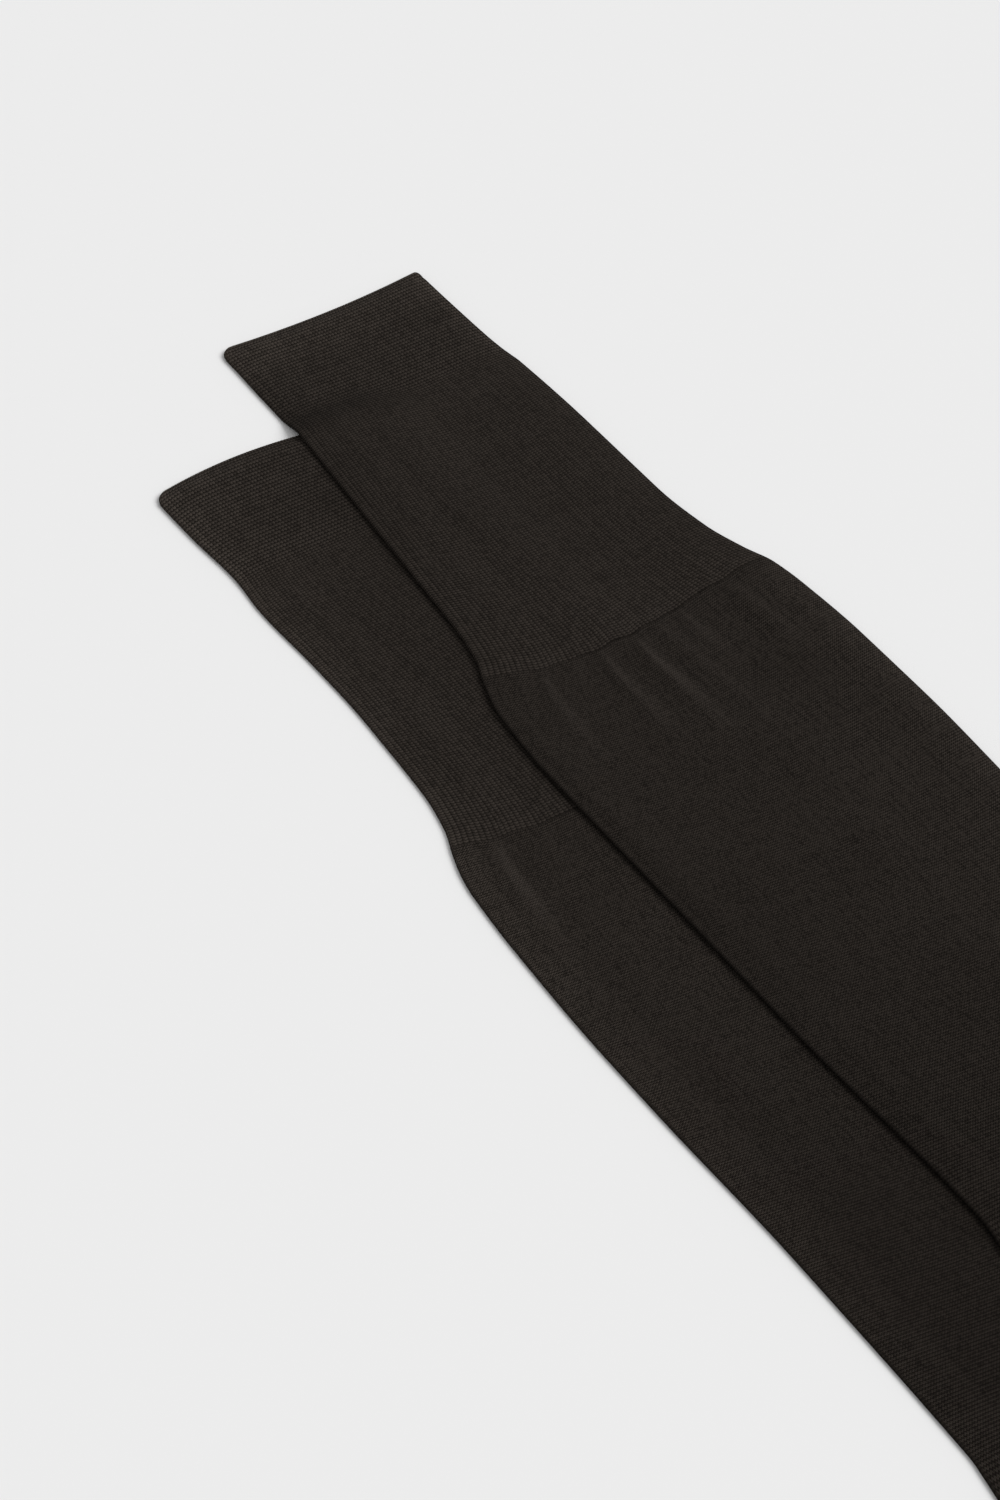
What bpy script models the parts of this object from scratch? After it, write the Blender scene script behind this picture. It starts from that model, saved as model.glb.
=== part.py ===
"""A pair of long dress socks in a fine knit, laid flat, the upper one partly over the lower one.

Each sock is knitted in one piece as a tube, so it is one solid here. From the open end it has a
turned welt, a ribbed top, a wider plain leg that gathers into the ribs, a heel pocket, a foot and
a toe that a linked seam closes. Pressed flat, the tube is a front panel on a back panel with a
tight fold down each side.

The script works in millimetres and writes metres. The legs run along Y with the cuffs towards +Y.
A section across the tube has a back end, on the calf, heel and sole side, and a front end, on the
shin and instep side.
"""

import math
from collections import namedtuple

import bmesh
import bpy

MM = 0.001

# Lengths along the middle of one sock, from the cuff.
WELT_END = 42.0
RIB_END = 154.0
ANKLE = 355.0
TURN_END = 434.0
TOE_START = 540.0
TOE_END = 577.0
TURN_DEGREES = 65.0  # from the leg's line to the foot's, as an even bend

# The cloth.
WALL = 1.0
LEG_THICKNESS = 2.5  # both panels and the little air between them
WELT_THICKNESS = 2.7  # the welt is turned, so it is a little thicker
WELT_FADE = 4.0  # length over which the welt's thickness comes down to the rib's
CUFF_CORNER = 2.5  # radius of the open end's corners, seen from above
TOE_TIP_SHARE = 0.15  # width of the last ring, as a share of the foot's

# How the pair lies.
LOWER_CUFF = (-38.0, -43.9)  # from the upper sock's cuff
AIR = 0.3  # between the socks
CLIMB_START = 13.0  # the upper sock leaves the floor this far from the lower one
CLIMB_END = 4.0  # and is at full height this near it

# How fine the surface is.
PANEL_STEPS = 24
FOLD_STEPS = 4

Section = namedtuple("Section", "along back front")
LEG_OF_UPPER = (
    Section(0, 33.4, 33.2),
    Section(20, 34.6, 33.6),
    Section(41, 35.4, 34.0),
    Section(48, 35.5, 34.9),
    Section(80, 37.5, 36.0),
    Section(115, 39.1, 36.4),
    Section(134, 40.4, 38.1),
    Section(147, 42.3, 41.6),
    Section(156, 45.5, 44.9),
    Section(167, 48.1, 46.5),
    Section(190, 49.3, 47.6),
    Section(215, 48.8, 47.6),
    Section(250, 48.0, 46.5),
    Section(300, 47.0, 44.5),
)
LEG_OF_LOWER = (
    Section(0, 42.2, 25.0),
    Section(20, 41.8, 26.6),
    Section(41, 40.3, 29.8),
    Section(48, 40.3, 31.0),
    Section(80, 39.6, 34.7),
    Section(115, 39.1, 37.1),
    Section(134, 39.9, 39.4),
    Section(147, 41.7, 43.0),
    Section(156, 44.2, 47.0),
    Section(167, 47.0, 48.3),
    Section(190, 48.7, 48.8),
    Section(215, 49.0, 48.1),
    Section(250, 48.0, 47.0),
    Section(300, 45.3, 45.0),
)
FOOT = (
    Section(ANKLE, 44.4, 42.0),
    Section(368, 48.5, 42.0),
    Section(381, 55.8, 41.5),
    Section(394, 60.0, 41.5),
    Section(407, 53.5, 41.5),
    Section(420, 46.5, 41.5),
    Section(TURN_END, 43.0, 41.0),
    Section(470, 41.5, 41.0),
    Section(510, 43.0, 43.0),
    Section(TOE_START, 43.0, 42.5),
    Section(TOE_END, 41.5, 41.0),
)

Bow = namedtuple("Bow", "along depth")
BOW_OF_UPPER = (  # how far a row of stitches sags towards the foot in its middle
    Bow(0, 0),
    Bow(WELT_END, 1),
    Bow(RIB_END, 8.0),
    Bow(200, 4),
    Bow(280, 0),
    Bow(TOE_END, 0),
)
BOW_OF_LOWER = (
    Bow(0, -1.5),
    Bow(WELT_END, 0),
    Bow(RIB_END, 6.0),
    Bow(200, 3),
    Bow(280, 0),
    Bow(TOE_END, 0),
)

# Soft ridges where the leg gathers into the ribs. across is -1 at the back end and 1 at the front.
Gather = namedtuple("Gather", "across slant length height width")
GATHERS_OF_UPPER = (
    Gather(-0.70, -0.04, 22, 0.35, 3.4),
    Gather(-0.29, 0.00, 26, 0.40, 3.2),
    Gather(-0.07, 0.02, 42, 0.60, 3.6),
    Gather(0.27, 0.04, 34, 0.50, 4.0),
    Gather(0.66, 0.08, 24, 0.40, 4.0),
)
GATHERS_OF_LOWER = (
    Gather(-0.80, -0.02, 40, 0.50, 3.6),
    Gather(-0.52, 0.00, 24, 0.35, 3.4),
)

# Rings of points along the tube, a row for each stretch.
Stretch = namedtuple("Stretch", "end rings")
STRETCHES = (
    Stretch(27.0, 3),
    Stretch(48.0, 8),
    Stretch(134.0, 9),
    Stretch(RIB_END, 5),
    Stretch(200.0, 10),
    Stretch(ANKLE, 12),
    Stretch(TURN_END, 13),
    Stretch(TOE_START, 12),
)
CUFF_RINGS = 3
TOE_RINGS = 7

DARK_BROWN = (0.0194, 0.0160, 0.0137, 1.0)
KNIT_ROUGHNESS = 0.9


def between(table, column, along):
    """The smooth curve through one column of a table, flat past both ends."""
    along = min(max(along, table[0].along), table[-1].along)
    last = next(i for i in range(1, len(table)) if along <= table[i].along)
    rows = [table[max(last - 2, 0)], table[last - 1], table[last], table[min(last + 1, len(table) - 1)]]
    xs = [row.along for row in rows]
    ys = [getattr(row, column) for row in rows]
    width = xs[2] - xs[1]
    share = (along - xs[1]) / width
    rise = ys[2] - ys[1]

    def slope(i, j):
        return (ys[j] - ys[i]) / (xs[j] - xs[i]) if xs[j] > xs[i] else rise / width

    def kept(one, other):
        return 0.0 if one * other <= 0 else 2 * one * other / (one + other)

    start = kept(slope(0, 1), rise / width)
    end = kept(rise / width, slope(2, 3))
    return (
        ys[1]
        + rise * share * share * (3 - 2 * share)
        + width * share * (1 - share) * (start * (1 - share) - end * share)
    )


def smooth_step(share):
    share = min(max(share, 0.0), 1.0)
    return share * share * (3 - 2 * share)


def middle_line():
    """Points down the middle of the sock, a millimetre apart, with the direction at each."""
    x, y = 0.0, 0.0
    line = []
    for along in range(int(TOE_END) + 1):
        bent = min(max((along - ANKLE) / (TURN_END - ANKLE), 0.0), 1.0)
        turn = math.radians(TURN_DEGREES * bent)
        line.append((x, y, turn))
        x += math.sin(turn)
        y -= math.cos(turn)
    return line


MIDDLE = middle_line()


def middle_at(along):
    before = min(int(max(along, 0.0)), len(MIDDLE) - 2)
    share = along - before
    return tuple(a + (b - a) * share for a, b in zip(MIDDLE[before], MIDDLE[before + 1]))


def end_share(along):
    """How much of its width a ring keeps at the rounded corners of the cuff and at the toe."""
    if along < CUFF_CORNER:
        full = 1 - CUFF_CORNER / LEG_OF_UPPER[0].back
        return full + (1 - full) * math.sqrt(1 - (1 - along / CUFF_CORNER) ** 2)
    into_toe = (along - TOE_START) / (TOE_END - TOE_START)
    if into_toe <= 0:
        return 1.0
    return TOE_TIP_SHARE + (1 - TOE_TIP_SHARE) * math.sqrt(max(0.0, 1 - into_toe**2))


def thickness_at(along):
    share = smooth_step((along - WELT_END) / WELT_FADE)
    return WELT_THICKNESS + (LEG_THICKNESS - WELT_THICKNESS) * share


def ring_places():
    """Places of the rings along the tube: close at the rounded ends, then evenly in each stretch."""
    places = [CUFF_CORNER * (1 - math.cos(math.pi / 2 * i / CUFF_RINGS)) for i in range(CUFF_RINGS)]
    start = CUFF_CORNER
    for stretch in STRETCHES:
        step = (stretch.end - start) / stretch.rings
        places += [start + step * i for i in range(stretch.rings)]
        start = stretch.end
    toe = TOE_END - TOE_START
    places += [start + toe * math.sin(math.pi / 2 * i / TOE_RINGS) for i in range(TOE_RINGS + 1)]
    return places


def around():
    """Places round a section: (across, out, up). across runs from -1 to 1 between the two folds,
    and out and up are parts of the fold's radius."""
    places = [(-1 + 2 * i / PANEL_STEPS, 0.0, 1.0) for i in range(PANEL_STEPS + 1)]
    turns = [math.pi * i / FOLD_STEPS for i in range(1, FOLD_STEPS)]
    places += [(1.0, math.sin(turn), math.cos(turn)) for turn in turns]
    places += [(1 - 2 * i / PANEL_STEPS, 0.0, -1.0) for i in range(PANEL_STEPS + 1)]
    places += [(-1.0, -math.sin(turn), -math.cos(turn)) for turn in turns]
    return places


class Sock:
    """One sock on its own middle line, with its cuff at a given place."""

    def __init__(self, name, leg, bow, gathers, cuff):
        self.name = name
        self.sections = leg + FOOT
        self.bow = bow
        self.gathers = gathers
        self.cuff = cuff

    def plan(self, along, across, out=0.0):
        """The place above which a point lies, out being millimetres past the end of the flat part."""
        sag = between(self.bow, "depth", along) * (1 - across * across)
        radius = thickness_at(along) / 2
        x, y, turn = middle_at(along + sag)
        back = between(self.sections, "back", along)
        front = between(self.sections, "front", along)
        centre = (front - back) / 2
        flat_half = (front + back) / 2 * end_share(along) - radius
        offset = centre + across * flat_half + out
        return (
            self.cuff[0] + x + offset * math.cos(turn),
            self.cuff[1] + y + offset * math.sin(turn),
        )

    def outline(self):
        """The flat sock's edge from above, down the back side and up the front side."""
        places = ring_places()
        edge = [self.plan(s, -1.0, -thickness_at(s) / 2) for s in places]
        return edge + [self.plan(s, 1.0, thickness_at(s) / 2) for s in reversed(places)]

    def ridge(self, along, across):
        """How far the gathers raise the front panel."""
        past = along - RIB_END
        half = between(self.sections, "front", along)
        height = 0.0
        for gather in self.gathers:
            share = past / gather.length
            if 0 < share < 1:
                side = (across - gather.across - gather.slant * share) * half / gather.width
                height += gather.height * math.sin(math.pi * math.sqrt(share)) * math.exp(-side * side)
        return height


def distance_outside(outline, x, y):
    """Distance from a closed outline: above 0 outside it and 0 within it."""
    nearest = math.inf
    inside = False
    for (ax, ay), (bx, by) in zip(outline, outline[1:] + outline[:1]):
        run_x, run_y = bx - ax, by - ay
        length_squared = run_x * run_x + run_y * run_y
        if length_squared == 0:
            continue
        share = ((x - ax) * run_x + (y - ay) * run_y) / length_squared
        share = min(max(share, 0.0), 1.0)
        nearest = min(nearest, math.hypot(ax + run_x * share - x, ay + run_y * share - y))
        if (ay > y) != (by > y) and x < ax + run_x * (y - ay) / run_y:
            inside = not inside
    return 0.0 if inside else nearest


def floor_under(outline, x, y):
    """Height of what a point of the upper sock rests on: the floor, or the lower sock."""
    if outline is None:
        return 0.0
    share = (CLIMB_START - distance_outside(outline, x, y)) / (CLIMB_START - CLIMB_END)
    return (WELT_THICKNESS + AIR) * smooth_step(share)


def knit_material(name):
    material = bpy.data.materials.new(name)
    material.use_nodes = True
    shader = material.node_tree.nodes["Principled BSDF"]
    shader.inputs["Base Color"].default_value = DARK_BROWN
    shader.inputs["Roughness"].default_value = KNIT_ROUGHNESS
    shader.inputs["Metallic"].default_value = 0.0
    return material


def sock_object(sock, collection, below=None):
    """The tube as a grid rolled round the sections, closed at the toe and given its wall."""
    rings = ring_places()
    places = around()
    outline = below.outline() if below else None
    bm = bmesh.new()
    bmesh.ops.create_grid(bm, x_segments=len(places), y_segments=len(rings) - 1, size=0.5)
    last_ring = []
    for vertex in bm.verts:
        place = round((vertex.co.x + 0.5) * len(places)) % len(places)
        ring = round((vertex.co.y + 0.5) * (len(rings) - 1))
        across, out, up = places[place]
        along = rings[ring]
        radius = thickness_at(along) / 2
        x, y = sock.plan(along, across, out * radius)
        z = floor_under(outline, x, y) + radius * (1 + up)
        if up > 0 and out == 0.0:
            z += sock.ridge(along, across)
        vertex.co = (x * MM, y * MM, z * MM)
        if ring == len(rings) - 1:
            last_ring.append(vertex)
    bmesh.ops.remove_doubles(bm, verts=bm.verts, dist=0.001 * MM)
    last_ring = {vertex for vertex in last_ring if vertex.is_valid}
    toe_loop = [e for e in bm.edges if e.is_boundary and all(v in last_ring for v in e.verts)]
    bmesh.ops.edgeloop_fill(bm, edges=toe_loop)
    bmesh.ops.recalc_face_normals(bm, faces=bm.faces)
    mesh = bpy.data.meshes.new(sock.name)
    bm.to_mesh(mesh)
    bm.free()
    mesh.shade_smooth()
    mesh.materials.append(knit_material(sock.name + "_knit"))
    made = bpy.data.objects.new(sock.name, mesh)
    collection.objects.link(made)
    wall = made.modifiers.new("wall", "SOLIDIFY")
    wall.thickness = WALL * MM
    wall.offset = -1.0
    wall.use_even_offset = True
    return made


def stand_on_origin(objects):
    """Hangs the socks on an empty so that the middle of the pair stands over the origin."""
    points = [made.matrix_world @ vertex.co for made in objects for vertex in made.data.vertices]
    middle_x = (min(p.x for p in points) + max(p.x for p in points)) / 2
    middle_y = (min(p.y for p in points) + max(p.y for p in points)) / 2
    holder = bpy.data.objects.new("pair_of_socks_origin", None)
    objects[0].users_collection[0].objects.link(holder)
    holder.location = (-middle_x, -middle_y, 0.0)
    for made in objects:
        made.parent = holder


def main():
    for existing in list(bpy.data.objects):
        bpy.data.objects.remove(existing, do_unlink=True)
    collection = bpy.data.collections.new("pair_of_socks")
    bpy.context.scene.collection.children.link(collection)
    lower = Sock("sock_lower", LEG_OF_LOWER, BOW_OF_LOWER, GATHERS_OF_LOWER, LOWER_CUFF)
    upper = Sock("sock_upper", LEG_OF_UPPER, BOW_OF_UPPER, GATHERS_OF_UPPER, (0.0, 0.0))
    stand_on_origin(
        [
            sock_object(lower, collection),
            sock_object(upper, collection, below=lower),
        ]
    )


main()
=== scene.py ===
# %% [markdown]
# # A pair of long dress socks, laid flat
#
# The real thing is a pair of over-the-calf socks in a very fine dark brown knit, pressed flat and
# laid side by side, one partly over the other. Each sock is knitted round in one piece: a turned
# welt at the open end, a ribbed top, a plain leg gathered into the ribs, then heel, foot and toe.
#
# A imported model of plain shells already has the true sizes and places. This lesson loads it as a
# fixed frame, lays a finer shell over each part, and adds stitches, floor, light and camera.

# %% Load the plain model as a fixed frame
import math
from collections import namedtuple

import bmesh
import bpy
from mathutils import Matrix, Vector
from mathutils.bvhtree import BVHTree


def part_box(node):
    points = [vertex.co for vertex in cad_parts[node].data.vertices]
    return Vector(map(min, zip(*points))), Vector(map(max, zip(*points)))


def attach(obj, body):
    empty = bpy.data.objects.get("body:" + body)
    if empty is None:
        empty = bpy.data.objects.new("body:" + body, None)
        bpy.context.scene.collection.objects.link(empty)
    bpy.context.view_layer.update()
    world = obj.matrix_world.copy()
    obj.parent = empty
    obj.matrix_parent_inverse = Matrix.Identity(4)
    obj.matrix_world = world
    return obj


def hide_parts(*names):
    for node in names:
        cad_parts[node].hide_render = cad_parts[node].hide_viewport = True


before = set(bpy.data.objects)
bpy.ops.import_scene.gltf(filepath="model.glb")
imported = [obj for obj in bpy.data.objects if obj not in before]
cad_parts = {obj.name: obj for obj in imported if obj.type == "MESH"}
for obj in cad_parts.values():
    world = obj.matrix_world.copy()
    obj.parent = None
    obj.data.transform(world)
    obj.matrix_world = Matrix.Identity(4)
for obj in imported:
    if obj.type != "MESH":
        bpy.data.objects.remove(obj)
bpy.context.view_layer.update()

MM = 0.001

# %% [markdown]
# ## The sizes of one sock
#
# Everything below is in millimetres. Places down the sock are lengths along its middle line, from the
# open end. That line is straight down the leg, bends evenly round the ankle and is straight again
# down the foot. Pressed flat, the tube is two panels, thin as a coin, with a tight fold down each
# side. A little air stays between the panels, so the upper one rises softly from its folds.

# %% Lengths and thicknesses
WELT_END = 42.0
RIB_END = 154.0
ANKLE = 355.0
HEEL_POINT = 394.0
TURN_END = 434.0
TOE_START = 540.0
TOE_SEAM = 547.0
TOE_END = 577.0
TURN_DEGREES = 65.0

WALL = 0.45
LEG_THICKNESS = 1.1
WELT_THICKNESS = 1.3
WELT_FADE = 4.0
PUFF = 1.1
PUFF_WIDTH = 13.0
PUFF_END = 5.0
PUFF_ROUND = 3
TOE_TIP_SHARE = 0.05
print(f"a sock is {TOE_END:.0f} mm long down its middle, with a ribbed top of {RIB_END:.0f} mm")

# %% [markdown]
# ## How wide it lies
#
# A flat sock is described by how far it reaches from its middle line to the back fold and to the
# front fold. The two socks were pulled on and pressed by hand, so their tops aren't quite alike,
# and each has its own table. The foot is the same on both.

# %% Widths, a row for each place
Section = namedtuple("Section", "along back front")
LEG_OF_UPPER = (
    Section(0, 34.2, 33.8),
    Section(10, 34.1, 33.9),
    Section(20, 34.2, 34.1),
    Section(33, 34.2, 34.5),
    Section(41, 34.4, 35.1),
    Section(48, 34.8, 36.2),
    Section(80, 36.9, 37.3),
    Section(115, 39.1, 37.4),
    Section(134, 40.4, 39.3),
    Section(147, 42.3, 42.8),
    Section(156, 45.5, 46.1),
    Section(167, 48.1, 47.6),
    Section(190, 49.3, 48.8),
    Section(215, 48.8, 48.7),
    Section(250, 48.0, 47.1),
    Section(300, 47.0, 44.9),
)
LEG_OF_LOWER = (
    Section(0, 42.2, 25.0),
    Section(20, 41.3, 26.6),
    Section(41, 39.7, 29.8),
    Section(54, 40.3, 31.8),
    Section(80, 38.9, 34.7),
    Section(100, 38.3, 36.2),
    Section(115, 38.6, 37.1),
    Section(134, 39.3, 39.4),
    Section(147, 41.2, 43.0),
    Section(156, 44.2, 47.0),
    Section(163, 46.1, 47.9),
    Section(170, 47.1, 48.4),
    Section(190, 48.1, 48.8),
    Section(215, 48.4, 48.1),
    Section(250, 47.6, 47.0),
    Section(300, 45.3, 45.0),
)
FOOT = (
    Section(ANKLE, 44.4, 42.0),
    Section(368, 48.5, 42.0),
    Section(381, 55.8, 41.5),
    Section(HEEL_POINT, 60.0, 41.5),
    Section(407, 53.5, 41.5),
    Section(420, 46.5, 41.5),
    Section(TURN_END, 43.0, 41.0),
    Section(470, 41.5, 41.0),
    Section(510, 43.0, 43.0),
    Section(TOE_START, 43.0, 42.5),
    Section(TOE_END, 41.5, 41.0),
)
Corner = namedtuple("Corner", "back front")
CORNER_OF_UPPER = Corner(3.8, 1.2)
CORNER_OF_LOWER = Corner(4.6, 2.5)
print(len(LEG_OF_UPPER) + len(FOOT), "places down each sock")

# %% [markdown]
# ## How the rows of stitches lie
#
# A row, or course, is straight only where nothing pulls at it. The plain leg is knitted wider than
# the ribs, so it hangs from them in an arc: the courses near the change sag towards the foot in
# their middle, deepest a little towards the back, which the skew says. Further down, the leg was
# laid with a slight twist, so its courses run down towards the shin side. The corners of the open end
# were pulled up.

# %% How far a course lies towards the foot, at its back end, middle and front end
Course = namedtuple("Course", "along back middle front skew", defaults=(0.0,))
COURSES_OF_UPPER = (
    Course(0, -2.4, -1.3, -3.6),
    Course(20, -0.8, 0.0, -1.2),
    Course(WELT_END, 0, 1, 0),
    Course(RIB_END, 0, 6.2, 0, 1.0),
    Course(200, -2, 5, 1, 0.4),
    Course(245, -4.4, 4, 4),
    Course(290, -7.5, 3, 7),
    Course(330, -6, 2, 6),
    Course(HEEL_POINT, 0, 0, 0),
    Course(TOE_END, 0, 0, 0),
)
COURSES_OF_LOWER = (
    Course(0, -1.1, -2.8, 3.2),
    Course(20, -0.3, -1.2, 0.5),
    Course(WELT_END, 0, 0, 0),
    Course(RIB_END, -1, 5, 0, 0.6),
    Course(200, -2, 4, 1),
    Course(245, -5, 4, 4),
    Course(290, -7, 3, 7),
    Course(330, -6, 2, 6),
    Course(HEEL_POINT, 0, 0, 0),
    Course(TOE_END, 0, 0, 0),
)


def smooth_step(share):
    """0 up to 0, 1 from 1 on, and a soft rise between."""
    share = min(max(share, 0.0), 1.0)
    return share * share * (3 - 2 * share)


def between(table, column, along):
    """The smooth curve through one column of a table, flat past both ends."""
    along = min(max(along, table[0].along), table[-1].along)
    last = next(i for i in range(1, len(table)) if along <= table[i].along)
    rows = [table[max(last - 2, 0)], table[last - 1], table[last], table[min(last + 1, len(table) - 1)]]
    xs = [row.along for row in rows]
    ys = [getattr(row, column) for row in rows]
    width = xs[2] - xs[1]
    share = (along - xs[1]) / width
    rise = ys[2] - ys[1]

    def slope(i, j):
        return (ys[j] - ys[i]) / (xs[j] - xs[i]) if xs[j] > xs[i] else rise / width

    def kept(one, other):
        return 0.0 if one * other <= 0 else 2 * one * other / (one + other)

    start = kept(slope(0, 1), rise / width)
    end = kept(rise / width, slope(2, 3))
    return (
        ys[1]
        + rise * share * share * (3 - 2 * share)
        + width * share * (1 - share) * (start * (1 - share) - end * share)
    )


middle_sag = between(COURSES_OF_UPPER, "middle", RIB_END)
print(f"where the ribs end, the upper sock's courses sag {middle_sag:.1f} mm")

# %% [markdown]
# ## How deep the brown is, and the painted light in it
#
# The colour also carries light and shade. The open end is paler, the welt a little lighter than the
# ribs, and the leg darkens towards the ankle and changes a little from side to side: painted shade
# for the way the light falls off. A table gives the share of the deepest brown for the back end,
# middle and front end of some courses, and how strong a painted highlight runs along the fold that
# lies open at the pair's outside.

# %% Share of deep brown with painted shade, and the painted highlight along the outer fold
Tone = namedtuple("Tone", "along back middle front rubbed")
SHADED_TONES_OF_UPPER = (
    Tone(2, 0.06, 0.18, 0.21, 0.30),
    Tone(10, 0.10, 0.23, 0.25, 0.32),
    Tone(17, 0.27, 0.34, 0.38, 0.35),
    Tone(27, 0.40, 0.39, 0.38, 0.35),
    Tone(40, 0.41, 0.39, 0.39, 0.25),
    Tone(46, 0.49, 0.45, 0.45, 0.12),
    Tone(70, 0.50, 0.47, 0.47, 0.06),
    Tone(90, 0.47, 0.48, 0.46, 0.04),
    Tone(150, 0.43, 0.46, 0.47, 0.05),
    Tone(162, 0.40, 0.43, 0.43, 0.30),
    Tone(200, 0.42, 0.45, 0.42, 0.38),
    Tone(230, 0.46, 0.43, 0.42, 0.30),
    Tone(290, 0.50, 0.47, 0.45, 0.30),
    Tone(330, 0.53, 0.52, 0.50, 0.25),
)
SHADED_TONES_OF_LOWER = (
    Tone(4, 0.07, 0.32, 0.36, 0.15),
    Tone(9, 0.21, 0.38, 0.45, 0.25),
    Tone(17, 0.15, 0.40, 0.58, 0.30),
    Tone(27, 0.25, 0.48, 0.64, 0.32),
    Tone(37, 0.25, 0.45, 0.62, 0.38),
    Tone(47, 0.37, 0.50, 0.63, 0.38),
    Tone(66, 0.37, 0.52, 0.62, 0.38),
    Tone(121, 0.41, 0.52, 0.60, 0.32),
    Tone(150, 0.40, 0.51, 0.56, 0.32),
    Tone(160, 0.38, 0.40, 0.43, 0.60),
    Tone(200, 0.40, 0.39, 0.42, 0.52),
    Tone(225, 0.42, 0.42, 0.44, 0.45),
    Tone(250, 0.45, 0.45, 0.47, 0.50),
    Tone(285, 0.50, 0.54, 0.56, 0.48),
    Tone(340, 0.57, 0.61, 0.63, 0.30),
)
# How far in from the outer fold its painted highlight reaches on the ribs and on the leg, and how it
# fades.
FOLD_HIGHLIGHT_ON_RIBS = 7.0
FOLD_HIGHLIGHT_ON_LEG = 15.0
FOLD_HIGHLIGHT_CHANGE = 10.0
FOLD_HIGHLIGHT_FADE = 1.5
print("the edge is", f"{SHADED_TONES_OF_UPPER[0].back:.2f} deep, the calf {SHADED_TONES_OF_UPPER[-1].back:.2f}")

# %% [markdown]
# ## The middle line
#
# One list of points a millimetre apart serves both socks. The direction turns at an even rate round
# the ankle, so the bend is part of a circle.


# %% Points down the middle, with the direction at each
def middle_line():
    x, y = 0.0, 0.0
    line = []
    for along in range(int(TOE_END) + 1):
        bent = min(max((along - ANKLE) / (TURN_END - ANKLE), 0.0), 1.0)
        turn = math.radians(TURN_DEGREES * bent)
        line.append((x, y, turn))
        x += math.sin(turn)
        y -= math.cos(turn)
    return line


MIDDLE = middle_line()


def middle_at(along):
    before = min(int(max(along, 0.0)), len(MIDDLE) - 2)
    share = along - before
    return tuple(a + (b - a) * share for a, b in zip(MIDDLE[before], MIDDLE[before + 1]))


print("the toe lies", [round(value, 1) for value in middle_at(TOE_END)[:2]], "mm from the cuff")

# %% [markdown]
# ## Wales: the columns of stitches
#
# Knitting is counted in wales, the columns that run down the tube. In the ribbed top every second
# needle makes a raised wale, and the ones between sink behind them. 144 raised wales go all round: 68
# on each panel and 4 in each fold. If the mesh has its columns in step with the wales, the ribs
# can be real relief, with few faces.

# %% Count the wales and place the columns round the tube
PANEL_WALES = 68
FOLD_WALES = 4
WALES = 2 * (PANEL_WALES + FOLD_WALES)
NEEDLES_PER_WALE = 2
WELT_COURSE = 1.27
RIB_COURSE = 0.88
LEG_COURSE = 0.81

Place = namedtuple("Place", "wale across out up")


def place_of(wale):
    """Where a wale runs round the section. across goes from -1 at the back fold to 1 at the front
    fold, and out and up are parts of the fold's radius."""
    if wale <= PANEL_WALES:
        return Place(wale, -1 + 2 * wale / PANEL_WALES, 0.0, 1.0)
    if wale < PANEL_WALES + FOLD_WALES:
        turn = math.pi * (wale - PANEL_WALES) / FOLD_WALES
        return Place(wale, 1.0, math.sin(turn), math.cos(turn))
    wale_under = wale - PANEL_WALES - FOLD_WALES
    if wale_under <= PANEL_WALES:
        return Place(wale, 1 - 2 * wale_under / PANEL_WALES, 0.0, -1.0)
    turn = math.pi * (wale_under - PANEL_WALES) / FOLD_WALES
    return Place(wale, -1.0, -math.sin(turn), -math.cos(turn))


def ribbed_count(along):
    """Courses from the open end to a place on the ribbed top. The welt is knitted looser."""
    welt = min(along, WELT_END)
    return welt / WELT_COURSE + (along - welt) / RIB_COURSE


def plain_count(along):
    return along / LEG_COURSE


print(WALES, "raised wales all round,", WALES * NEEDLES_PER_WALE, "needles")
print(f"the ribbed top has {ribbed_count(RIB_END):.0f} courses")

# %% [markdown]
# ## Gathers, creases and seams
#
# Where the wide leg meets the narrower ribs, the spare cloth stands up in a few short ridges, each
# with its own place, length and height, and with a painted highlight along its crest, more or less
# strong, and painted shade in the hollows beside it. They pull the courses beside them a little
# towards the foot. Longer and much softer ridges run down the leg from folding and pressing. The heel
# and the toe are pockets that join the tube along a fine raised line. All are short tables: one row,
# one ridge.

# %% Ridges on the panel that faces up
# The crest column is how strong a painted highlight runs along the ridge's top.
Ridge = namedtuple("Ridge", "across slant start length height width crest")
RIDGES_OF_UPPER = (
    Ridge(-0.70, -0.02, RIB_END, 42, 0.65, 3.0, 0.62),
    Ridge(-0.33, 0.04, RIB_END, 42, 0.65, 2.8, 0.72),
    Ridge(-0.10, 0.07, RIB_END, 52, 0.85, 3.0, 1.00),
    Ridge(0.10, 0.10, RIB_END, 52, 0.50, 4.0, 0.45),
    Ridge(0.27, 0.05, RIB_END, 28, 0.45, 3.8, 0.50),
    Ridge(0.66, 0.06, RIB_END, 38, 0.50, 4.0, 0.42),
    Ridge(-0.50, 0.02, RIB_END, 14, 0.30, 2.6, 0.25),
    Ridge(-0.90, 0.03, 162, 110, 0.35, 4.0, 0.32),
    Ridge(0.10, 0.10, 176, 120, 0.30, 6.0, 0.0),
    Ridge(0.48, -0.10, 205, 140, 0.25, 7.0, 0.0),
    Ridge(-0.42, 0.06, 190, 150, 0.22, 7.0, 0.0),
    Ridge(-0.05, 0.22, 250, 95, 0.20, 6.0, 0.0),
    Ridge(0.20, -0.20, 372, 60, 0.45, 6.0, 0.0),
    Ridge(0.62, -0.10, 380, 50, 0.40, 5.0, 0.1),
    Ridge(-0.30, 0.10, 455, 90, 0.30, 7.0, 0.0),
)
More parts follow.
